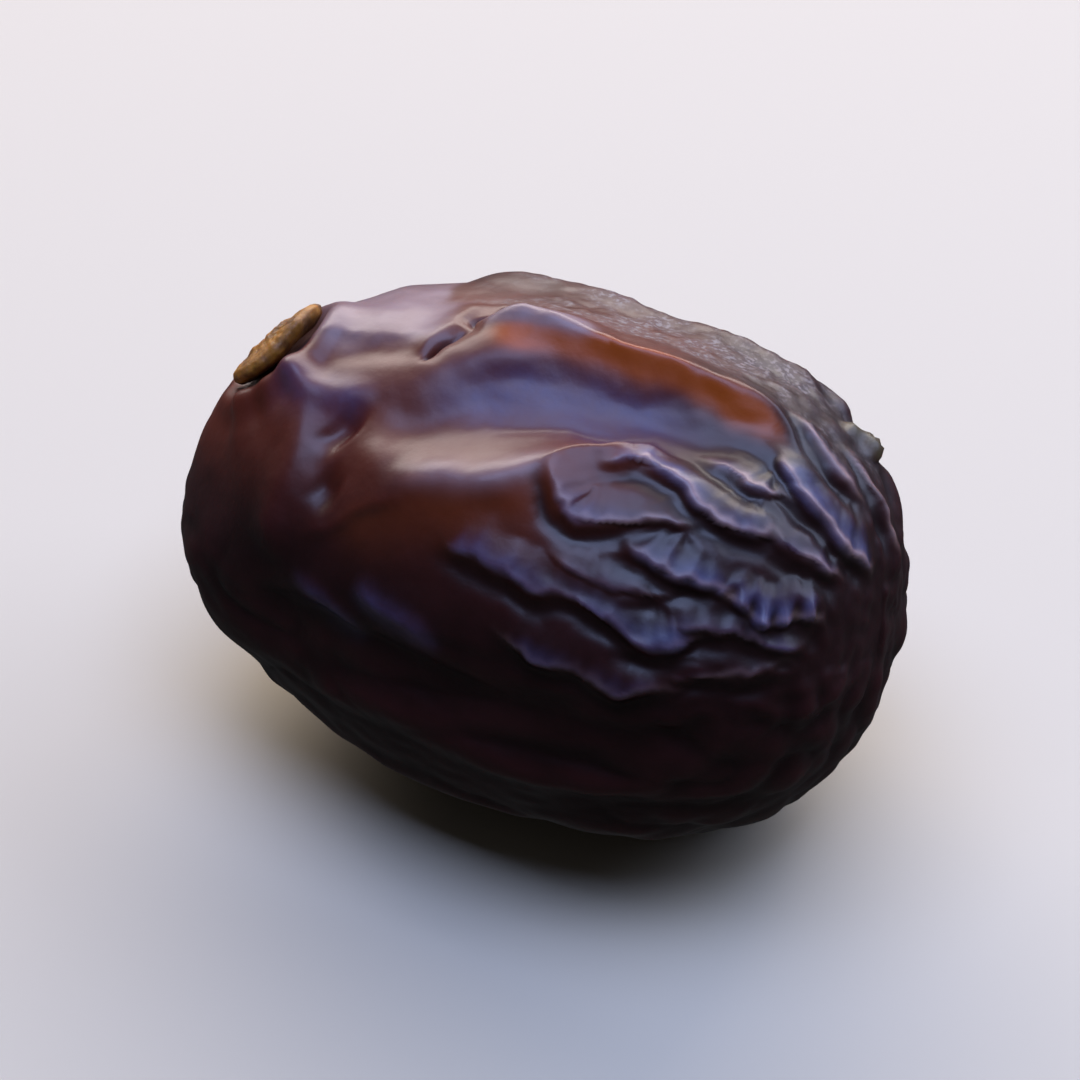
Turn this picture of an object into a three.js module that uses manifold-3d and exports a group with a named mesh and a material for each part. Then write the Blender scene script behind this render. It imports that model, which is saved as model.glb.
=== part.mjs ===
// A plump, soft date lying on its side, with the dried cap of its stem end still on.
// The stem end points along -X, the apex along +X and the resting side down. Millimetres.

import * as THREE from "three";
import { mergeVertices } from "three/addons/utils/BufferGeometryUtils.js";
import Module from "manifold-3d";

const wasm = await Module();
wasm.setup();

// ---- Driving dimensions ----

const LENGTH = 38.2; // stem end to apex
const GIRTH = 26.6; // across the fattest place
const REST_PRESS = 1.0; // how far the resting side is pressed flat
const CAP_RADIUS = 3.0;
const CAP_HEIGHT = 1.3;
const CAP_GAP = 0.3; // clearance between the cap and its seat

const HALF_LENGTH = LENGTH / 2;
const HALF_GIRTH = GIRTH / 2;

// A superellipse's power: 2 is an ellipse, and more is blunter.
const STEM_BLUNTNESS = 2.7;
const APEX_BLUNTNESS = 2.7;
const STEM_TAPER = 0.13; // share of the girth lost towards the stem end
const TAPER_REACH = 0.6; // share of the half length over which it is lost

const RINGS = 42;
const SPOKES = 60;

// ---- Fruit: flesh and skin ----

// The half outline, from the stem end to the apex: x is the radius and y the place along the fruit.
function outline() {
  const points = [];
  for (let ring = 0; ring <= RINGS; ring++) {
    const turn = Math.PI * (ring / RINGS);
    const along = -Math.cos(turn);
    const power = 2 / (along < 0 ? STEM_BLUNTNESS : APEX_BLUNTNESS);
    const station = Math.sign(along) * Math.abs(along) ** power;
    const taper = 1 - STEM_TAPER * THREE.MathUtils.smoothstep(-station, 0, TAPER_REACH);
    const atTip = ring === 0 || ring === RINGS;
    const radius = atTip ? 0 : Math.sin(turn) ** power * taper;
    points.push(new THREE.Vector2(radius * HALF_GIRTH, station * HALF_LENGTH));
  }
  return points;
}

// The skin has sunk and folded as the fruit dried. Each fold runs through places given as
// [mm along the fruit, degrees round it], where 0 degrees is the top and 90 the front, at -Y.
// Lift is in mm, and spread is how far it fades to the sides.
const FOLDS = [
  { name: "slope under the cap", lift: -1.3, spread: 3.2, path: [[-17.5, 5], [-16.5, 62]] },
  { name: "long hollow", lift: -1.25, spread: 2.1, path: [[-5, 25], [0, 17], [4, 12], [10, 5]] },
  { name: "crest above it", lift: 0.55, spread: 1.6, path: [[-3, -6], [3, -13], [9, -13], [14, -8]] },
  { name: "lip below it", lift: 0.5, spread: 1.7, path: [[-5, 38], [1, 35], [6, 20]] },
  { name: "front shoulder", lift: -0.5, spread: 2.4, path: [[-9, 34], [-7, 52]] },
  { name: "apex shoulder", lift: 0.35, spread: 2.6, path: [[11, 24], [15, 20]] },
  { name: "lower front", lift: -0.6, spread: 3.0, path: [[-9, 88], [2, 84], [9, 92]] },
  { name: "back hollow", lift: -1.1, spread: 2.6, path: [[-10, -74], [-2, -66], [8, -72]] },
  { name: "back crest", lift: 0.5, spread: 1.8, path: [[-6, -48], [4, -44], [12, -52]] },
  { name: "low back hollow", lift: -0.8, spread: 2.4, path: [[-4, -112], [6, -106], [12, -112]] },
];
const TIP_CALM = 0.5; // folds fade where the fruit is thinner than this share of its girth

function unrolled(along, angle) {
  return new THREE.Vector3(along, angle * HALF_GIRTH, 0);
}

// The distance from a place on the unrolled skin to the nearest stretch of a fold's path.
function distanceToPath(place, path) {
  const corners = path.map(([along, degrees]) => unrolled(along, THREE.MathUtils.degToRad(degrees)));
  const nearest = new THREE.Vector3();
  let least = Infinity;
  for (let i = 1; i < corners.length; i++) {
    new THREE.Line3(corners[i - 1], corners[i]).closestPointToPoint(place, true, nearest);
    least = Math.min(least, nearest.distanceTo(place));
  }
  return least;
}

function liftAt(along, angle) {
  const place = unrolled(along, angle);
  let lift = 0;
  for (const fold of FOLDS) {
    const reach = distanceToPath(place, fold.path) / fold.spread;
    lift += fold.lift * Math.exp(-reach * reach);
  }
  return lift;
}

function foldedSkin() {
  const geometry = new THREE.LatheGeometry(outline(), SPOKES);
  geometry.rotateZ(-Math.PI / 2);
  const skin = closed(geometry);
  const place = skin.getAttribute("position");
  for (let i = 0; i < place.count; i++) {
    const [x, y, z] = [place.getX(i), place.getY(i), place.getZ(i)];
    const radius = Math.hypot(y, z);
    if (radius === 0) continue;
    const fade = Math.min(1, radius / (TIP_CALM * HALF_GIRTH));
    const scale = 1 + (fade * liftAt(x, Math.atan2(-y, z))) / radius;
    place.setXYZ(i, x, y * scale, z * scale);
  }
  return skin;
}

// Where the cap sits: off the axis, towards the top of the stem end, on a small pressed seat.
const CAP_SEAT = new THREE.Vector3(-0.775 * HALF_LENGTH, 0.7, 0.585 * HALF_GIRTH);
const CAP_FACING = new THREE.Vector3(-0.8, 0.12, 0.58).normalize();
const SEAT_ROOM = 1.25; // the seat's radius over the cap's
const SEAT_CUT = 6; // how far up the cutter reaches, well clear of the skin
const CAP_FACETS = 36;

// Turns a geometry made along +Y to point along a direction, and moves it to a place.
function facing(geometry, direction, place) {
  const turn = new THREE.Quaternion().setFromUnitVectors(new THREE.Vector3(0, 1, 0), direction);
  return geometry.applyQuaternion(turn).translate(place.x, place.y, place.z);
}

function capSeatCutter() {
  const radius = CAP_RADIUS * SEAT_ROOM;
  const cutter = new THREE.CylinderGeometry(radius, radius, SEAT_CUT, CAP_FACETS);
  cutter.translate(0, SEAT_CUT / 2 - CAP_GAP, 0);
  return facing(cutter, CAP_FACING, CAP_SEAT);
}

function restingFlatCutter() {
  const block = new THREE.BoxGeometry(2 * LENGTH, 2 * GIRTH, GIRTH);
  return block.translate(0, 0, REST_PRESS - HALF_GIRTH - GIRTH / 2);
}

// ---- Solids ----

function closed(geometry) {
  const bare = geometry.clone();
  bare.deleteAttribute("normal");
  bare.deleteAttribute("uv");
  return mergeVertices(bare, 1e-3);
}

function solid(geometry) {
  const { index, attributes } = closed(geometry);
  return new wasm.Manifold(
    new wasm.Mesh({
      numProp: 3,
      vertProperties: new Float32Array(attributes.position.array),
      triVerts: new Uint32Array(index.array),
    }),
  );
}

function geometryOf(shape) {
  const mesh = shape.getMesh();
  const geometry = new THREE.BufferGeometry();
  geometry.setAttribute("position", new THREE.BufferAttribute(mesh.vertProperties, 3));
  geometry.setIndex(new THREE.BufferAttribute(mesh.triVerts, 1));
  geometry.computeVertexNormals();
  return geometry;
}

function named(name, geometry, material) {
  const mesh = new THREE.Mesh(geometry, material);
  mesh.name = name;
  return mesh;
}

function fruit() {
  const shape = solid(foldedSkin()).subtract(solid(restingFlatCutter())).subtract(solid(capSeatCutter()));
  const skin = new THREE.MeshStandardMaterial({ color: 0x2a0f0a, roughness: 0.35, metalness: 0 });
  return named("fruit", geometryOf(shape), skin);
}

// ---- Cap: the dried calyx, a low three-lobed disc with a pit where the stalk broke away ----

// Half of its section, as shares of its radius and height, from the middle of its
// underside, out round the rim, over the top and down into the pit.
const CAP_SECTION = [
  [0, 0],
  [0.8, 0],
  [0.97, 0.25],
  [1, 0.6],
  [0.86, 0.9],
  [0.6, 1],
  [0.34, 0.94],
  [0.24, 0.7],
  [0, 0.62],
];
const CAP_LOBES = 3;
const LOBE_SWELL = 0.07; // how far a lobe stands out, as a share of the radius

function cap() {
  const section = CAP_SECTION.map(
    ([radius, height]) => new THREE.Vector2(radius * CAP_RADIUS, height * CAP_HEIGHT),
  );
  const disc = closed(new THREE.LatheGeometry(section, CAP_FACETS));
  const place = disc.getAttribute("position");
  for (let i = 0; i < place.count; i++) {
    const [x, z] = [place.getX(i), place.getZ(i)];
    const reach = Math.hypot(x, z) / CAP_RADIUS;
    const lobe = 1 + LOBE_SWELL * reach * Math.cos(CAP_LOBES * Math.atan2(z, x));
    place.setXYZ(i, x * lobe, place.getY(i), z * lobe);
  }
  const husk = new THREE.MeshStandardMaterial({ color: 0x6b4314, roughness: 0.7, metalness: 0 });
  return named("cap", facing(disc, CAP_FACING, CAP_SEAT), husk);
}

// ---- The date, standing on its pressed side with the origin below its middle ----

const date = new THREE.Group();
date.add(fruit(), cap());

const bounds = new THREE.Box3().setFromObject(date, true);
const middle = bounds.getCenter(new THREE.Vector3());
date.position.set(-middle.x, -middle.y, -bounds.min.z);

const part = new THREE.Group();
part.add(date);

export default part;
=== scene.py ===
import math

import bmesh
import bpy
import numpy as np
from mathutils import Matrix, Vector, noise
from mathutils.bvhtree import BVHTree


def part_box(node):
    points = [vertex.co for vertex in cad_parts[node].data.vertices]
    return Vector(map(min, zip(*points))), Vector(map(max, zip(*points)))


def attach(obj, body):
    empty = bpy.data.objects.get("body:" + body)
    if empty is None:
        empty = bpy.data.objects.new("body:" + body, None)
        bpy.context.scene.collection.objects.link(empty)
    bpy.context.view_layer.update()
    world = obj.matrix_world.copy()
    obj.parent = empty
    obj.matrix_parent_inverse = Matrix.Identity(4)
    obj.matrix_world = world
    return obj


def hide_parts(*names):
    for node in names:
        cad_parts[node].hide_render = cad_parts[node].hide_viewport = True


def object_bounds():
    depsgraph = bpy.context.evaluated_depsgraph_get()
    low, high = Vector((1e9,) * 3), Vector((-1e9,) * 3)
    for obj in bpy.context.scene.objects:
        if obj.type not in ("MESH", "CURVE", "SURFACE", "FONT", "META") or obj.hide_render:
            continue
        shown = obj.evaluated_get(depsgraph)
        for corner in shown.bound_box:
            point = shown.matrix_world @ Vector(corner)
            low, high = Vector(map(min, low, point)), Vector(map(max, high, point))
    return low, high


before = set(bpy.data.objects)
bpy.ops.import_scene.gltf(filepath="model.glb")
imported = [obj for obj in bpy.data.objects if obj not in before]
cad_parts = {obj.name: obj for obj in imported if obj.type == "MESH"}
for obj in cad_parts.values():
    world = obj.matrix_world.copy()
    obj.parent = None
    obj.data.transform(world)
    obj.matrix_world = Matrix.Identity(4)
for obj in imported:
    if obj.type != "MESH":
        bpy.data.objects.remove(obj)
cad_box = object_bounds()

# ---- Fruit ----
# The date itself: sticky flesh inside a thin skin that grew with it. As it dried on the palm the
# flesh shrank, and the skin sank with it, folded into a crest and a lip, and crept into scales
# at the apex. It lies on its side, with the stem end at -X and the side that shows most at -Y.

MM = 0.001
WELD = 0.001 * MM  # corners closer than this are one corner
CELLS_ALONG = 140
CELLS_ROUND = 92
FACET_SMOOTHING = 45  # passes that melt the facets into one skin
AXIS_DROP = 0.7  # mm from the middle of the fruit down to the line that its angles turn about

fruit_low, fruit_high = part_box("fruit")
fruit_middle = (fruit_low + fruit_high) / 2
fruit_half = (fruit_high - fruit_low) / 2
axis_height = fruit_middle.z / MM - AXIS_DROP

grown = bmesh.new()
grown.from_mesh(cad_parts["fruit"].data)
bmesh.ops.remove_doubles(grown, verts=grown.verts, dist=WELD)
flesh = BVHTree.FromBMesh(grown)
grown.free()

skin = bmesh.new()
bmesh.ops.create_cube(skin, size=2)
for axis, cells in enumerate((CELLS_ALONG, CELLS_ROUND, CELLS_ROUND)):
    lengthwise = [edge for edge in skin.edges if abs((edge.verts[0].co - edge.verts[1].co)[axis]) > 1]
    bmesh.ops.subdivide_edges(skin, edges=lengthwise, cuts=cells - 1, use_grid_fill=True)
for vert in skin.verts:
    # The tangent keeps the cube's cells nearly even once they are swelled to a round.
    swelled = Vector(math.tan(part * math.pi / 4) for part in vert.co).normalized()
    vert.co = flesh.ray_cast(fruit_middle, swelled * fruit_half)[0]
for _ in range(FACET_SMOOTHING):
    bmesh.ops.smooth_vert(
        skin, verts=skin.verts, factor=0.5, use_axis_x=True, use_axis_y=True, use_axis_z=True
    )


def on_flesh(along, degrees):
    """The place on the flesh at so many mm along and degrees round."""
    turn = math.radians(degrees)
    start = Vector((along, 0, axis_height)) * MM
    hit = flesh.ray_cast(start, Vector((0, -math.sin(turn), math.cos(turn))))[0]
    return np.array(hit) / MM


def traced(path):
    """A smooth curve over the flesh through places given as (mm along, degrees round)."""
    spots = np.array([on_flesh(*spot) for spot in path])
    spots = np.vstack([2 * spots[0] - spots[1], spots, 2 * spots[-1] - spots[-2]])
    curve = []
    for before, start, end, after in zip(spots, spots[1:], spots[2:], spots[3:]):
        for step in np.linspace(0, 1, 6, endpoint=False):
            curve.append(
                0.5
                * (
                    2 * start
                    + (end - before) * step
                    + (2 * before - 5 * start + 4 * end - after) * step**2
                    + (3 * start - before - 3 * end + after) * step**3
                )
            )
    return np.array(curve + [spots[-2]])


# Where the skin crept into scales and where it split, the cells are cut finer, for crisp edges.
CREPT_FROM = 3 * MM
CREPT_BACK = 4 * MM
CREPT_FOOT = 13 * MM
crept_edges = [
    edge
    for edge in skin.edges
    if all(
        vert.co.x > CREPT_FROM and vert.co.y < CREPT_BACK and vert.co.z > CREPT_FOOT
        for vert in edge.verts
    )
]
bmesh.ops.subdivide_edges(skin, edges=crept_edges, cuts=1, use_grid_fill=True)

CRACK = [(-4.0, -21), (-4.3, -15), (-5.0, -10), (-4.8, -5), (-5.7, 1), (-6.3, 8)]
CRACK_REACH = 1.1  # mm to each side of the crack
crack_line = traced(CRACK)
split_edges = [
    edge
    for edge in skin.edges
    if np.linalg.norm(crack_line - np.array(edge.verts[0].co) / MM, axis=1).min() < CRACK_REACH
]
bmesh.ops.subdivide_edges(skin, edges=split_edges, cuts=2, use_grid_fill=True)
skin.verts.index_update()
skin.normal_update()

# From here the skin is worked as arrays, in millimetres: along the fruit from its middle, and
# round it in degrees, where 0 is the top, 90 the front and -90 the back.
edges = np.array([[vert.index for vert in edge.verts] for edge in skin.edges])
neighbours = np.bincount(edges.ravel(), minlength=len(skin.verts))
place = np.array([vert.co for vert in skin.verts]) / MM
facing = np.array([vert.normal for vert in skin.verts])
along = place[:, 0]
around = np.degrees(np.arctan2(-place[:, 1], place[:, 2] - axis_height))


def eased(low, high, value):
    """0 below low, 1 above high, and a smooth slope between."""
    share = np.clip((value - low) / (high - low), 0, 1)
    return share * share * (3 - 2 * share)


def evened(values, passes):
    """Values averaged with their neighbours on the skin, again and again."""
    for _ in range(passes):
        total = np.bincount(edges[:, 0], values[edges[:, 1]], len(values))
        total += np.bincount(edges[:, 1], values[edges[:, 0]], len(values))
        values = (values + total / neighbours) / 2
    return values


def grain(size, stretch=1.0, seed=0):
    """Smooth noise from -1 to 1 over the skin. Its lumps are size mm, and stretch times that along X."""
    spots = place / (size * np.array([stretch, 1, 1])) + seed * 17.3
    return np.array([noise.noise(Vector(spot)) for spot in spots])


WANDER_SEED = 1795197519
noise.seed_set(WANDER_SEED)  # unseeded, noise_vector starts from the clock, and no two runs agree


def wander(size, amount, seed=0):
    """How far each place strays sideways, so that nothing on the skin runs quite true."""
    spots = place / size + seed * 11.7
    return amount * np.array([noise.noise_vector(Vector(spot)) for spot in spots])


strayed = place + wander(3.0, 0.35) + wander(1.0, 0.12, seed=3)


def beside(path, reach):
    """The places within reach of a path: which they are, how far they lie to its left (below 0 is to
    its right), how far along it they are, and its length."""
    curve = traced(path)
    near = np.flatnonzero(
        np.all((strayed > curve.min(0) - reach) & (strayed < curve.max(0) + reach), axis=1)
    )
    start, run = curve[:-1], np.diff(curve, axis=0)
    length = np.linalg.norm(run, axis=1)
    passed = np.concatenate([[0], np.cumsum(length)])
    offset = strayed[near][:, None, :] - start[None]
    share = np.clip(np.einsum("vsk,sk->vs", offset, run) / length**2, 0, 1)
    gap = offset - share[..., None] * run[None]
    distance = np.linalg.norm(gap, axis=2)
    nearest = distance.argmin(1)
    row = np.arange(len(near))
    left = np.cross(facing[near], run[nearest])
    side = np.sign(np.einsum("vk,vk->v", gap[row, nearest], left)) * distance[row, nearest]
    walked = passed[nearest] + share[row, nearest] * length[nearest]
    return near, side, walked, passed[-1]


def fold(path, lift, left, right, crisp=2.0, ends=2.0):
    """Skin lifted (or sunk, below 0) along a path. It fades over left and right mm to the sides and over
    ends mm at the ends. Crisp 2 is a rounded fold, and 1 a pinched one."""
    near, side, walked, length = beside(path, 2.6 * max(left, right))
    share = np.where(side > 0, side / left, -side / right)
    end = eased(0, ends, walked) * eased(0, ends, length - walked)
    raised = np.zeros(len(place))
    raised[near] = lift * np.exp(-(share**crisp)) * end
    return raised


# The broad folds come first. Each follows a path of places, given as (mm along, degrees round).
CREST = [
    (-4.8, -4), (-3.4, -8), (-1.2, -9), (2, -8), (5, -8.5), (8, -10), (10.5, -10.5), (12.8, -10), (14, -5),
]
AMBER_FACE = [
    (-4.8, -2), (-3.2, -4), (-1, -5), (2, -6), (5, -7), (8, -8), (10.5, -8), (12.6, -6.5), (14, -1),
]
HOLLOW = [(-6, 16), (-2.5, 11), (1, 6.5), (4, 5), (7, 3.5), (10, 1.5)]
HOLLOW_FOOT = [(-2, 20), (1, 16), (4.3, 12.5), (7.5, 9)]
PLATEAU_EDGE = [(-13, 0), (-10.5, 0), (-8, -2), (-6.2, -5)]
LIP = [(-5.2, 38), (-2.5, 37), (0, 35), (2.2, 29), (4.2, 21.5), (6, 17.5), (7.6, 14), (9, 10.5)]
UNDER_LIP = [(-9, 60), (-5.5, 52), (-2, 46), (1.5, 40), (4.5, 31), (6, 26)]
CREST_BROW = [(-4.6, -8), (-2.4, -10), (0, -10.5), (3, -10)]
CREST_SHINE = [(-4.4, -7), (-2.8, -8.5), (-0.5, -9), (2.5, -9)]
SHOULDER = [(-13.5, -6), (-10, -10), (-6.5, -9)]
PLATEAU_BACK = [(-13.5, -30), (-11, -40), (-7, -42), (-3, -38)]
BACK_SLACK = [(-2, -38), (2, -40), (7, -38)]
SHOULDER_FOOT = [(-13.6, 3), (-11, 7), (-8.5, 4), (-6.2, 2)]
PALE_BAND = [(-14, 16), (-11.5, 19), (-9, 20.5), (-7.2, 21)]
LEFT_RIDGE = [(-13.8, 10), (-12.2, 20), (-11.3, 30), (-10.8, 42), (-10.6, 55), (-11, 72)]
BOX_RIDGE = [(-7.2, 19), (-6.4, 27), (-6, 36), (-5.8, 45)]
UPPER_DENT = [(-9.7, 27), (-7.8, 32)]
LOWER_DENT = [(-9, 44), (-7.4, 49)]
LOW_CREASE = [(-9.4, 62), (-8.1, 58), (-7.2, 55), (-6, 50), (-3.2, 43)]
FLAP = [(-5.0, -22), (-5.7, -12), (-6.0, -3), (-7.0, 5)]
FLAKE = [(13.8, -40), (14.8, -44), (15.8, -46)]
BACK_CREST = [(-9, -52), (-3, -46), (4, -44), (10, -48), (14, -58)]
BACK_LIP = [(-10, -92), (-3, -88), (4, -90), (11, -84)]
BACK_CREASE = [(-14, -70), (-6, -66), (2, -62), (9, -66)]
LOW_FRONT = [(-12, 84), (-5, 80), (3, 84), (10, 80), (15, 84)]
LOW_STREAK = [(-5.5, 66), (-2.5, 70), (0.5, 75)]
LOWER_STREAK = [(-9.5, 72), (-6.5, 77), (-4, 80)]
LOW_FRONT_FOLD = [(-8, 102), (-1, 98), (6, 102), (13, 98)]
KEEL = [(-13, 128), (-5, 124), (4, 126), (12, 120)]
BACK_KEEL = [(-12, -122), (-4, -118), (5, -122), (13, -116)]

SHRINKAGE = 0.14  # how far the whole skin has sunk, between its folds

folds = (
    fold(CREST, 0.6, 1.6, 0.95, crisp=1.7, ends=3.5)
    + fold(CREST, 0.35, 0.5, 0.5, crisp=1.5, ends=4.0)
    + fold(CREST_BROW, 0.2, 1.5, 0.5, crisp=3.0, ends=3.0)
    + fold(HOLLOW, -0.58, 1.5, 2.2, crisp=2.5, ends=4.5)
    + fold(HOLLOW_FOOT, -0.18, 0.45, 0.4, ends=3.0)
    + fold(PLATEAU_EDGE, 0.16, 2.2, 0.3, crisp=1.6, ends=2.5)
    + fold(PLATEAU_BACK, 0.75, 2.6, 3.4, ends=4.0)
    + fold(BACK_SLACK, -0.35, 3.0, 3.0, ends=4.0)
    + fold(LIP, 0.45, 1.3, 1.1, ends=4.0)
    + fold(LIP[3:], 0.3, 0.6, 0.3, crisp=1.4)
    + fold(SHOULDER, 0.45, 3.2, 2.8, ends=3.5)
    + fold(SHOULDER_FOOT, -0.16, 0.7, 0.8)
    + fold(PALE_BAND, 0.22, 0.8, 0.7)
    + fold(LEFT_RIDGE, 0.45, 1.2, 1.3)
    + fold(BOX_RIDGE, 0.3, 1.3, 1.2, ends=3.0)
    + fold(UPPER_DENT, -0.5, 1.1, 1.1, ends=0.8)
    + fold(LOWER_DENT, -0.4, 0.9, 0.9, ends=0.8)
    + fold(LOW_CREASE, 0.3, 1.6, 0.35, crisp=1.5)
    + fold(FLAP, 0.3, 0.5, 1.4, ends=1.5)
    + fold(CRACK, -0.2, 0.7, 0.5, ends=1.2)
    + fold(CRACK, -0.5, 0.16, 0.14, ends=1.2)
    + fold(BACK_CREST, 0.3, 1.4, 1.2)
    + fold(BACK_CREST, 0.2, 0.5, 0.5, crisp=1.5)
    + fold(BACK_LIP, 0.5, 1.1, 0.9)
    + fold(BACK_CREASE, -0.5, 1.0, 0.8)
    + fold(LOW_FRONT, -0.35, 1.0, 1.4)
    + fold(LOW_FRONT_FOLD, 0.4, 1.2, 1.1)
    + fold(LOW_STREAK, 0.35, 0.9, 0.6, crisp=1.6)
    + fold(LOWER_STREAK, 0.3, 0.8, 0.6, crisp=1.6)
    + fold(KEEL, 0.35, 1.2, 1.2)
    + fold(BACK_KEEL, -0.4, 1.1, 1.1)
    + fold(FLAKE, 0.7, 0.5, 0.5, crisp=1.5, ends=0.5)
    + 0.16 * grain(7.0, 1.6, seed=1)
    - SHRINKAGE
)

# The skin is drawn up into a collar round the cap, and puckers outside it, most at the front.
CAP_FACING = Vector((-0.8, 0.12, 0.58)).normalized()
CAP_HEIGHT = 1.3 * MM
COLLAR_LIFT = 0.6
COLLAR_AT = 0.6  # mm past the cap's rim
COLLAR_WIDTH = 0.8
PUCKER_LIFT = 0.5
PUCKER_AT = 1.4
PUCKER_WIDTH = 1.5
PUCKERS = 3.2  # more gives narrower puckers
cap_low, cap_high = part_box("cap")
cap_radius = (cap_high.y - cap_low.y) / 2
cap_base = (cap_low + cap_high) / 2 - CAP_FACING * CAP_HEIGHT / 2

to_cap = CAP_FACING.to_track_quat("Z", "Y").to_matrix()
from_cap = (place - np.array(cap_base) / MM) @ np.array(to_cap)
cap_turn = np.arctan2(from_cap[:, 1], from_cap[:, 0])
past_rim = np.hypot(from_cap[:, 0], from_cap[:, 1]) - cap_radius / MM
at_stem = eased(-5, -2, from_cap[:, 2])
cap_compass = PUCKERS * np.column_stack([np.cos(cap_turn), np.sin(cap_turn), 0 * cap_turn])
pucker = np.array([noise.noise(Vector(spot)) for spot in cap_compass])
pucker *= 0.3 + 0.7 * eased(-5, 25, around)
folds += at_stem * COLLAR_LIFT * np.exp(-(((past_rim - COLLAR_AT) / COLLAR_WIDTH) ** 2))
folds += at_stem * PUCKER_LIFT * pucker * np.exp(-(((past_rim - PUCKER_AT) / PUCKER_WIDTH) ** 2))

# The apex is crept skin: scales that overlap like slates, listed one by one where they are biggest.
RIM_AT = 0.12  # mm above a scale's edge
RIM_WIDTH = 0.24
GAP_AT = 0.95  # mm below a scale's edge
GAP_WIDTH = 0.5
TOOTH_TURN = 2.3  # radians of the teeth's wave in each mm


def scale_edge(path, lift, width, drop=0.6, ends=2.4, teeth=0.0):
    """One scale of crept skin, which rises over width mm to its lower edge and drops away below it.
    With it come how far each place is its rim, where a highlight is painted, and how far the gap below that,
    where shade is painted."""
    near, side, walked, length = beside(path, width + 1.2)
    swing = np.array([noise.noise(Vector((step * 0.45, 7.0 * width, 0))) for step in walked])
    notch = np.array([noise.noise(Vector((step * 1.3, 3.0 * width, 4.0))) for step in walked])
    side = side + 0.5 * swing + 0.4 * notch * eased(-drop, 0.6, side)
    rise = np.clip(1 - side / width, 0, 1) ** 1.15
    fall = eased(-drop, 0.1, side)
    tooth = 1 - teeth * np.cos(walked * TOOTH_TURN) ** 2 * eased(1.3, 0.2, side)
    end = eased(0, ends, walked) * eased(0, ends, length - walked)
    raised, rim_highlight, gap = np.zeros((3, len(place)))
    raised[near] = end * lift * (1 + 0.5 * swing) * tooth * rise * fall
    rim_highlight[near] = end * np.exp(-(((side - RIM_AT) / RIM_WIDTH) ** 2))
    gap[near] = end * np.exp(-(((side + GAP_AT) / GAP_WIDTH) ** 2))
    return raised, rim_highlight, gap


SCALES = [  # path, lift and width
    ([(5.0, 22), (7.6, 19), (9.6, 20), (10.8, 23.5), (12.2, 25.5), (14, 24.5), (15.6, 19)], 0.55, 2.2),
    ([(9.0, 6), (11.5, 9.5), (12.6, 11.5), (13.8, 12), (15.2, 8)], 0.42, 1.6),
    ([(3.2, 24), (4.9, 35), (7.5, 35), (10, 31), (12, 28)], 0.4, 2.2),
    ([(8.0, 36), (10.3, 41), (12.9, 42), (14.6, 42)], 0.55, 2.2),
    ([(4.0, 44), (6.6, 48), (9, 48), (12, 46)], 0.3, 1.5),
    ([(-1.4, 48), (2.5, 52), (4.9, 54.5), (7, 54.5), (9, 57), (10.8, 59), (13.8, 54)], 0.5, 2.2),
    ([(14.0, 17), (15.4, 22.5), (16.8, 22), (18.2, 16)], 0.42, 1.7),
    ([(12.9, -4), (14.4, 5), (16, 8.5), (17, 8.5), (17.9, 5.5), (18.6, -6)], 0.6, 3.0),
    ([(12.0, -21), (14.4, -15), (16.2, -15), (17.4, -20)], 0.32, 1.9),
    ([(14.4, -30), (16.4, -27), (17.8, -30), (18.6, -38)], 0.32, 1.8),
    ([(10.4, 54), (13.5, 52), (15.8, 52), (17.8, 46)], 0.35, 1.6),
    ([(11.4, 66), (15, 64), (17.6, 57)], 0.3, 1.8),
    ([(2.4, 66), (6.5, 69), (9.5, 71), (13.5, 70)], 0.3, 2.0),
]
TOOTHED = ([(12.6, 41), (14, 43.5), (15.4, 44.5), (16.8, 42), (18, 37)], 0.75, 2.0)
edges_laid = [scale_edge(*scale) for scale in SCALES]
edges_laid.append(scale_edge(*TOOTHED, ends=1.5, teeth=0.75))
# The rims carry a painted highlight, made fainter on the lower front below.
laid_scales, rim_highlights, gaps_below = (np.max(kind, axis=0) for kind in zip(*edges_laid))
rim_highlights *= 0.2 + 0.8 * eased(50, 30, around)
# A gap is closed where the next scale lies over it.
gaps_below *= 1 - np.clip(laid_scales / 0.4, 0, 1)
scaled = evened(laid_scales - 0.2 * gaps_below, 1)


def crept(length, width, seed):
    """A field of crept skin in cells: each is a pillow, highest at the edge that faces down."""
    cell = np.array([length, width, width])
    turn = np.radians(around)
    downhill = np.sign(around)[:, None] * np.column_stack([0 * turn, -np.cos(turn), -np.sin(turn)])
    raised = np.zeros(len(place))
    for i, spot in enumerate(strayed / cell + seed * 5.1):
        gaps, centres = noise.voronoi(Vector(spot))
        pillow = min(1.0, (gaps[1] - gaps[0]) / 0.3)
        raised[i] = pillow * (0.45 + 0.8 * float(np.dot(spot - np.array(centres[0]), downhill[i])))
    return evened(raised, 12)


def furrows(size, stretch, seed):
    """Long soft furrows: 0 along their floors, and 1 on the rounds between them."""
    return np.abs(grain(size, stretch, seed)) ** 0.8 * 2


# Everywhere else smaller cells and furrows do, each within its own part of the fruit.
laid = 0.8 * eased(64, 56, around) * eased(-22, -14, around) * eased(1, 4, along)
apex = eased(5, 12, along + 3 * grain(5, seed=4))
flank = eased(62, 92, np.abs(around + 8 * grain(6, seed=5)))
back = eased(-30, -50, around)
wrinkled = np.clip(0.75 * apex + 0.3 * flank + 0.35 * back, 0, 1) * (1 - laid)
scaled += wrinkled * (0.5 * crept(7.0, 2.6, 1) + 0.14 * crept(3.2, 1.4, 2))
scaled += 0.22 * np.clip(flank + back, 0, 1) * (furrows(2.6, 4.5, 6) - 0.6)
scaled += (0.02 + 0.06 * np.clip(apex + flank, 0, 1)) * grain(0.9, 2.5, seed=6)

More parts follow.
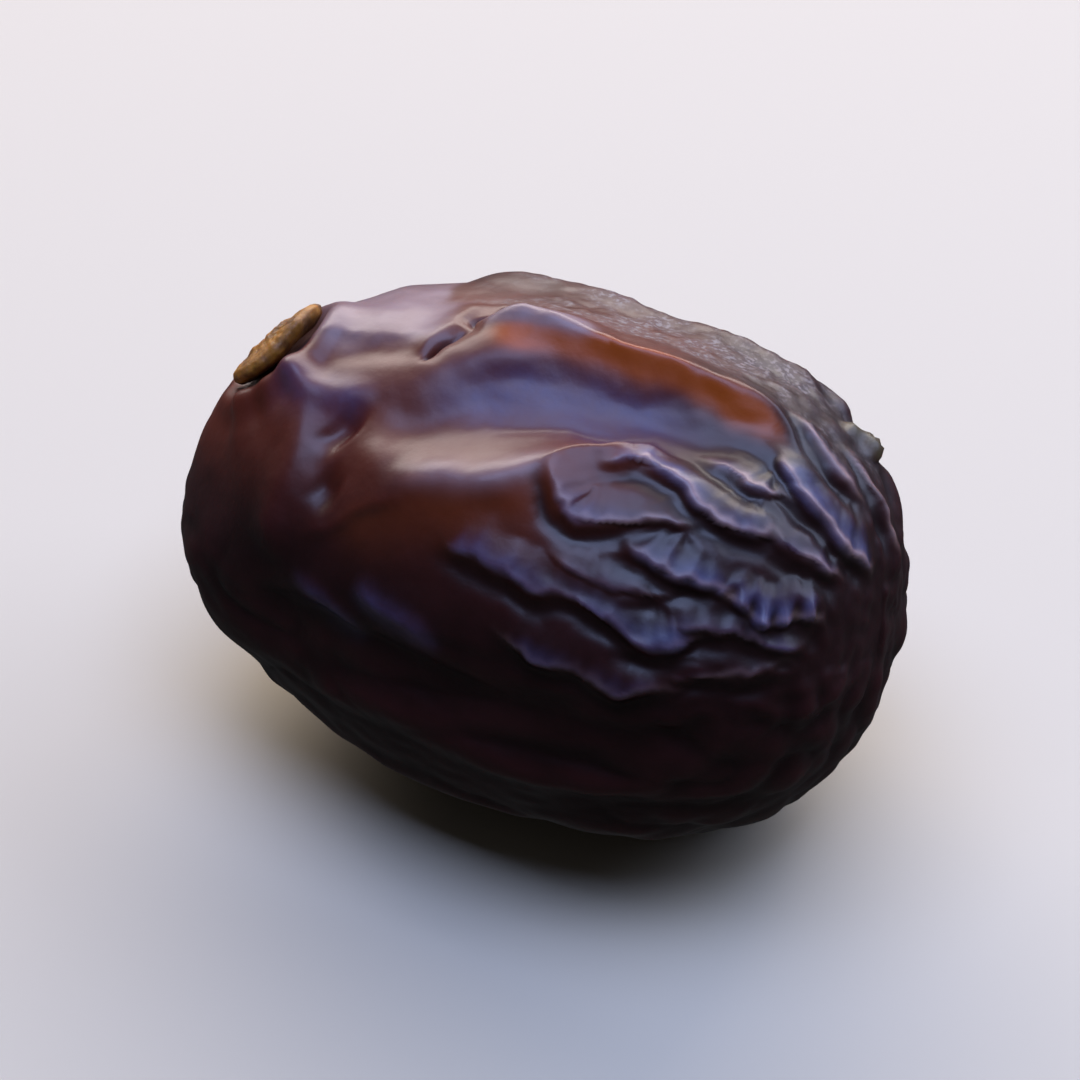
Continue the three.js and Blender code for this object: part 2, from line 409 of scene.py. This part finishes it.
# A strip along the back, behind the crest, is crusted with dried juice and dust.
crusted = eased(-14, -24, around + 7 * grain(2.5, seed=9))
crusted *= eased(-66, -38, around + 12 * grain(3.0, seed=16))
crusted *= eased(-7, 0, along + 3 * grain(2.0, seed=17)) * eased(17, 9, along + 4 * grain(2.0, seed=18))
scaled += crusted * (0.12 * grain(0.8, 1.3, seed=13) + 0.1 * np.clip(grain(0.6, seed=14), 0, 1))


LYING_SHARE = 0.12  # of every move, where the skin lies on its flat
LYING_HEIGHT = 1.8  # mm above the flat, from where a move is whole


def moved(by):
    """Moves the skin along its own normals by so many mm, and hardly at all where it lies on its flat."""
    lying = LYING_SHARE + (1 - LYING_SHARE) * eased(0, LYING_HEIGHT, place[:, 2])
    for vert, step in zip(skin.verts, by * lying * MM):
        vert.co += vert.normal * step
        vert.co.z = max(vert.co.z, 0)
    skin.normal_update()


height = folds + scaled
moved(folds)
moved(scaled)

fruit_mesh = bpy.data.meshes.new("date_skin")
skin.to_mesh(fruit_mesh)
skin.free()
fruit_mesh.shade_smooth()
fruit = bpy.data.objects.new("date_fruit", fruit_mesh)
bpy.context.collection.objects.link(fruit)


def record_on_skin(name, values):
    """Keeps one number from 0 to 1 for each place on the skin, for its finish to read."""
    layer = fruit_mesh.attributes.new(name, "FLOAT", "POINT")
    layer.data.foreach_set("value", np.clip(values, 0, 1).astype(np.float32))


# How far each place stands out from the skin about it. The finish paints shade with it, darkening the skin
# where it has sunk.
record_on_skin("relief", 0.5 + height - evened(height, 60))

# The skin is thin, with amber flesh showing through, on the crest's face and round the lip.
thin = fold(AMBER_FACE, 1.2, 0.5, 1.05, crisp=2.2, ends=4.0) * (0.95 + 0.25 * grain(2.5, 2.0, seed=8))
thin += 0.2 * fold(LIP, 1.0, 0.4, 1.6)
thin += 0.22 * fold(UNDER_LIP, 1.0, 1.4, 2.2, ends=4.0)
record_on_skin("thin", thin)

# The crust is broken up into crumbs and patches.
record_on_skin("dusty", crusted * (0.48 + 1.0 * grain(0.8, seed=10) + 0.7 * grain(2.5, seed=15)))

# Painted shade: the crack and the gaps below the scales' edges are darkened.
record_on_skin("crack_and_gap_shade", fold(CRACK, 1.0, 0.15, 0.13, ends=1.0) + 0.85 * gaps_below)
record_on_skin("rim_highlight", rim_highlights * (0.9 + 0.6 * grain(1.2, seed=21)))

# A painted highlight lies on the plateau at the stem end, at the crest's start and on the lip: the pale
# sheen of the window, painted into the colour.
plateau_end = along - 0.05 * around + 2.2 * grain(2.2, seed=22) * eased(-12, -24, around)
painted_highlight = eased(-16, -12, along) * eased(-4.8, -6.4, plateau_end) * eased(-50, -26, around)
painted_highlight *= eased(7, -2, around + 6 * grain(2.5, seed=19)) * (0.9 + 0.4 * grain(2.0, seed=20))
painted_highlight += 1.9 * fold(CREST_SHINE, 1.0, 0.7, 0.5, ends=1.4)
painted_highlight += 0.7 * fold(LIP[:5], 1.0, 1.1, 0.7, ends=3.0)
record_on_skin("painted_highlight", painted_highlight)

# A blue colour lies in the hollow, on the scales and on a few bands and streaks: partly the bloom of wax,
# and partly a painted reflection of the blue sky.
bloom_and_painted_reflection = 0.95 * eased(0.12, 0.5, laid_scales)
bloom_and_painted_reflection += 0.8 * fold(HOLLOW, 1.0, 1.5, 2.0, ends=4.0)
bloom_and_painted_reflection += 0.7 * fold(LOW_STREAK, 1.0, 0.7, 0.9, ends=2.0)
bloom_and_painted_reflection += 0.6 * fold(LOWER_STREAK, 1.0, 0.5, 0.8, ends=2.0)
bloom_and_painted_reflection += 0.6 * fold(PALE_BAND, 1.0, 1.2, 1.2)
record_on_skin("bloom_and_painted_reflection", bloom_and_painted_reflection * (0.9 + 0.5 * grain(1.5, 2.0, seed=12)))

record_on_skin("husk", fold(FLAKE, 1.3, 0.55, 0.55, ends=0.4))
# The top of the stem half is red, partly its own colour and partly painted light, and the skin below it is
# left darker as painted shade.
record_on_skin("red_top_and_painted_light", eased(75, 10, np.abs(around - 5)) * eased(14, 2, along))


class Wire:
    """A socket in a finish. Maths on it adds Math nodes, and node() adds any other kind."""

    def __init__(self, tree, socket=None):
        self.tree = tree
        self.socket = socket

    def node(self, kind, settings=None, sockets=None, out=0):
        made = self.tree.nodes.new(kind)
        for name, value in (settings or {}).items():
            setattr(made, name, value)
        for name, value in (sockets or {}).items():
            if isinstance(value, Wire):
                self.tree.links.new(value.socket, made.inputs[name])
            else:
                made.inputs[name].default_value = value
        return Wire(self.tree, made.outputs[out] if made.outputs else None)

    def maths(self, operation, first, second):
        return self.node("ShaderNodeMath", {"operation": operation}, {0: first, 1: second})

    def __add__(self, other):
        return self.maths("ADD", self, other)

    def __sub__(self, other):
        return self.maths("SUBTRACT", self, other)

    def __rsub__(self, other):
        return self.maths("SUBTRACT", other, self)

    def __mul__(self, other):
        return self.maths("MULTIPLY", self, other)

    __radd__, __rmul__ = __add__, __mul__

    def tint(self, low, high):
        """The colour low where this is 0, and high where it is 1."""
        return self.node("ShaderNodeMix", {"data_type": "RGBA"}, {0: self, 6: low, 7: high}, out=2)

    def ramp(self, low, high):
        """0 below low, 1 above high, and a smooth slope between."""
        return self.node(
            "ShaderNodeMapRange",
            {"interpolation_type": "SMOOTHSTEP"},
            {"Value": self, "From Min": low, "From Max": high},
        )


def finish_of(name):
    """A new, empty material, and a Wire that adds nodes to it."""
    material = bpy.data.materials.new(name)
    material.use_nodes = True
    material.node_tree.nodes.clear()
    return material, Wire(material.node_tree)


# The skin is plum, red or amber over its flesh, and painted shade darkens it to nearly black where it has
# sunk.
SUNK_PLUM_SHADE = (0.010, 0.0010, 0.0011, 1)
PLUM_SKIN = (0.028, 0.0028, 0.0034, 1)
RED_SKIN_AND_TOP_LIGHT = (0.078, 0.0105, 0.0040, 1)
AMBER_SKIN = (0.28, 0.049, 0.0012, 1)
BLOOM_AND_SKY_REFLECTION = (0.052, 0.060, 0.145, 1)
PAINTED_HIGHLIGHT = (0.20, 0.137, 0.148, 1)
HUSK = (0.055, 0.038, 0.016, 1)
RIM_HIGHLIGHT = (0.36, 0.22, 0.19, 1)
CRACK_AND_GAP_SHADE = (0.010, 0.0015, 0.0015, 1)
DUST = (0.15, 0.115, 0.105, 1)

skin_finish, wire = finish_of("date_skin")
spot = wire.node("ShaderNodeTexCoord", out=3)  # Object coordinates


def kept_number(name):
    return wire.node("ShaderNodeAttribute", {"attribute_name": name}, out=2)


mottle = wire.node("ShaderNodeTexNoise", {}, {"Vector": spot, "Scale": 260.0, "Detail": 5.0})
freckle = wire.node("ShaderNodeTexNoise", {}, {"Vector": spot, "Scale": 1700.0, "Detail": 3.0})
# Painted shade: the plum skin goes nearly black where it has sunk.
color = (kept_number("relief") + (mottle - 0.5) * 0.4).ramp(0.35, 0.75).tint(SUNK_PLUM_SHADE, PLUM_SKIN)
# Red top of the stem half: partly the skin's own colour, partly painted light, with painted shade below.
color = (kept_number("red_top_and_painted_light") * (0.5 + mottle)).ramp(0.0, 1.0).tint(color, RED_SKIN_AND_TOP_LIGHT)
color = (kept_number("thin") * (0.75 + mottle * 0.5)).ramp(0.0, 1.0).tint(color, AMBER_SKIN)
# Partly wax bloom, partly a painted reflection of the blue sky.
color = (kept_number("bloom_and_painted_reflection") * (0.3 + freckle * 0.5)).tint(color, BLOOM_AND_SKY_REFLECTION)
# Painted highlight on the plateau, at the crest's start and on the lip.
color = (kept_number("painted_highlight") * (0.4 + mottle * 0.6)).tint(color, PAINTED_HIGHLIGHT)
crumbs = wire.node("ShaderNodeTexNoise", {}, {"Vector": spot, "Scale": 3600.0, "Detail": 2.0})
color = (kept_number("dusty") * (0.25 + crumbs.ramp(0.45, 0.68))).tint(color, DUST)
# Painted highlight along the scales' edges.
color = (kept_number("rim_highlight") * (0.2 + freckle * 0.6)).tint(color, RIM_HIGHLIGHT)
# Painted shade in the crack and in the gaps below the scales.
color = kept_number("crack_and_gap_shade").tint(color, CRACK_AND_GAP_SHADE)
color = (kept_number("husk") * (0.6 + freckle * 0.6)).tint(color, HUSK)
# It is sticky, so it shines dully, and less where dust clings to it.
roughness = 0.45 + (mottle - 0.5) * 0.2 + (freckle - 0.5) * 0.1 + kept_number("dusty") * 0.25
shallow = wire.node(
    "ShaderNodeBump", {}, {"Strength": 0.2, "Distance": 0.0001, "Height": freckle + mottle * 0.6}
)
shader = wire.node(
    "ShaderNodeBsdfPrincipled",
    {},
    {
        "Base Color": color,
        "Roughness": roughness,
        "Normal": shallow,
        "IOR": 1.37,
        "Subsurface Weight": 0.06,
        "Subsurface Radius": (1.0, 0.28, 0.1),
        "Subsurface Scale": 0.001,
        "Coat Weight": 0.12,
        "Coat Roughness": 0.25,
    },
)
wire.node("ShaderNodeOutputMaterial", {}, {"Surface": shader})
fruit_mesh.materials.append(skin_finish)

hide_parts("fruit")
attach(fruit, "root")

# ---- Cap ----
# The dried calyx that held the date to its strand: three woody lobes round the pit where the
# stalk broke away. It is stuck to the stem end, where the skin has drawn up round it.

# Half the cap's section, from the middle of its foot out to the rim and in to the pit, as shares
# of its radius and height.
CAP_SECTION = [
    (0, 0.05), (0.7, 0.0), (0.94, 0.2), (1.0, 0.48), (0.93, 0.7), (0.74, 0.82), (0.52, 0.84),
    (0.38, 1.0), (0.29, 0.98), (0.21, 0.7), (0, 0.62),
]
CAP_STEPS = 180
LOBES = 3
LOBE_SWELL = 0.07
LOBE_CURL = 0.12
FIBRE_RISE = 0.035
CRUMB_RISE = 0.03
CRUMB_SIZE = 0.3 * MM
FIBRES_FROM = 0.3  # share of the height, below which the wood is smooth

calyx = bmesh.new()
section = [calyx.verts.new((share * cap_radius, 0, rise * CAP_HEIGHT)) for share, rise in CAP_SECTION]
for start, end in zip(section, section[1:]):
    calyx.edges.new((start, end))
bmesh.ops.subdivide_edges(calyx, edges=calyx.edges[:], cuts=3)
bmesh.ops.spin(
    calyx, geom=calyx.verts[:] + calyx.edges[:], axis=(0, 0, 1), cent=(0, 0, 0),
    angle=2 * math.pi, steps=CAP_STEPS, use_merge=True,
)
bmesh.ops.remove_doubles(calyx, verts=calyx.verts, dist=WELD)
bmesh.ops.recalc_face_normals(calyx, faces=calyx.faces)
for _ in range(2):
    bmesh.ops.smooth_vert(
        calyx, verts=calyx.verts, factor=0.5, use_axis_x=True, use_axis_y=True, use_axis_z=True
    )
for vert in calyx.verts:
    out = math.hypot(vert.co.x, vert.co.y) / cap_radius
    turn = math.atan2(vert.co.y, vert.co.x)
    compass = Vector((math.cos(turn), math.sin(turn), 0))
    ragged = noise.noise(compass * 1.6) * 0.12 + noise.noise(compass * 5) * 0.04
    lobe = 1 + (LOBE_SWELL * math.cos(LOBES * turn) + ragged) * out**2
    curl = LOBE_CURL * out**2 * math.cos(LOBES * turn + 1.2)
    fibre = noise.noise(compass * 7 + Vector((0, 0, out * 3))) * FIBRE_RISE * min(1, out * 1.6)
    crumb = noise.noise(Vector((vert.co.x, vert.co.y, 0)) / CRUMB_SIZE) * CRUMB_RISE
    top = max(0, vert.co.z / CAP_HEIGHT - FIBRES_FROM)
    vert.co.x *= lobe
    vert.co.y *= lobe
    vert.co.z += CAP_HEIGHT * (top * (fibre + crumb) * 2 + curl)
calyx.transform(Matrix.Translation(cap_base) @ to_cap.to_4x4())

cap_mesh = bpy.data.meshes.new("date_cap")
calyx.to_mesh(cap_mesh)
calyx.free()
cap_mesh.shade_smooth()
cap = bpy.data.objects.new("date_cap", cap_mesh)
bpy.context.collection.objects.link(cap)

DARK_WOOD = (0.10, 0.033, 0.0008, 1)
AMBER_WOOD = (0.27, 0.102, 0.0025, 1)
WOOD_DUST = (0.24, 0.19, 0.11, 1)

cap_finish, wire = finish_of("date_cap")
spot = wire.node("ShaderNodeTexCoord", out=3)  # Object coordinates
patch = wire.node("ShaderNodeTexNoise", {}, {"Vector": spot, "Scale": 900.0, "Detail": 4.0})
speck = wire.node("ShaderNodeTexNoise", {}, {"Vector": spot, "Scale": 3800.0, "Detail": 3.0})
color = patch.ramp(0.35, 0.65).tint(DARK_WOOD, AMBER_WOOD)
color = (speck.ramp(0.6, 0.75) * patch.ramp(0.5, 0.75)).tint(color, WOOD_DUST)
rough_grain = wire.node("ShaderNodeBump", {}, {"Strength": 0.5, "Distance": 0.0001, "Height": speck})
shader = wire.node(
    "ShaderNodeBsdfPrincipled",
    {},
    {
        "Base Color": color,
        "Roughness": 0.42 + speck * 0.3,
        "Normal": rough_grain,
        "Subsurface Weight": 0.4,
        "Subsurface Radius": (1.0, 0.5, 0.2),
        "Subsurface Scale": 0.0008,
    },
)
wire.node("ShaderNodeOutputMaterial", {}, {"Surface": shader})
cap_mesh.materials.append(cap_finish)

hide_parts("cap")
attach(cap, "root")

# ---- Studio ----
# The date lies on a pale, dull floor. A window stands low behind it, the blue sky reaches it from
# above and from behind on the right, and the camera looks down at its front and its apex.

FLOOR_HALF = 2  # metres from its middle to its edge
FLOOR_COLOR = (0.44, 0.38, 0.29, 1)
FLOOR_ROUGHNESS = 0.7

floor_mesh = bpy.data.meshes.new("floor")
ground = bmesh.new()
bmesh.ops.create_grid(ground, x_segments=1, y_segments=1, size=FLOOR_HALF)
ground.to_mesh(floor_mesh)
ground.free()
floor = bpy.data.objects.new("floor", floor_mesh)
bpy.context.collection.objects.link(floor)
floor_finish, wire = finish_of("floor")
shader = wire.node("ShaderNodeBsdfPrincipled", {}, {"Base Color": FLOOR_COLOR, "Roughness": FLOOR_ROUGHNESS})
wire.node("ShaderNodeOutputMaterial", {}, {"Surface": shader})
floor_mesh.materials.append(floor_finish)
floor.visible_glossy = False  # the sticky skin would show it as a pale grey all round its foot

low, high = cad_box
target = (low + high) / 2
CAMERA_TURN = math.radians(25)
CAMERA_RISE = math.radians(42)
CAMERA_DISTANCE = 0.45
CAMERA_LENS = 290
CAMERA_SENSOR = 36


def aimed(thing, turn, rise, distance):
    """Puts a camera or lamp at a distance from the date and points it there. Turn 0 is the front."""
    away = Vector((math.sin(turn) * math.cos(rise), -math.cos(turn) * math.cos(rise), math.sin(rise)))
    thing.location = target + away * distance
    thing.rotation_euler = away.to_track_quat("Z", "Y").to_euler()


camera = bpy.data.objects.new("camera", bpy.data.cameras.new("camera"))
bpy.context.collection.objects.link(camera)
aimed(camera, CAMERA_TURN, CAMERA_RISE, CAMERA_DISTANCE)
camera.data.sensor_width = CAMERA_SENSOR
camera.data.lens = CAMERA_LENS
camera.data.clip_start = 0.01
bpy.context.scene.camera = camera


LAMP_DISTANCE = 0.5


def softbox(name, turn, rise, size, power, color):
    """A broad rectangular lamp, placed by degrees round and up, with its size in metres."""
    lamp = bpy.data.lights.new(name, "AREA")
    lamp.shape = "RECTANGLE"
    lamp.size, lamp.size_y = size
    lamp.energy = power
    lamp.color = color
    box = bpy.data.objects.new(name, lamp)
    bpy.context.collection.objects.link(box)
    aimed(box, math.radians(turn), math.radians(rise), LAMP_DISTANCE)


softbox("window", 208, 27, (0.7, 0.30), 4.8, (1.0, 0.92, 0.88))
softbox("sky", 355, 87, (0.5, 0.32), 4.0, (0.44, 0.57, 1.0))
softbox("side_sky", 142, 32, (0.46, 0.40), 2.7, (0.56, 0.67, 1.0))

ROOM_COLOR = (0.8, 0.82, 0.88, 1)
ROOM_STRENGTH = 0.06

world = bpy.data.worlds.new("studio")
world.use_nodes = True
world.node_tree.nodes["Background"].inputs["Color"].default_value = ROOM_COLOR
world.node_tree.nodes["Background"].inputs["Strength"].default_value = ROOM_STRENGTH
bpy.context.scene.world = world
bpy.context.scene.view_settings.view_transform = "Standard"
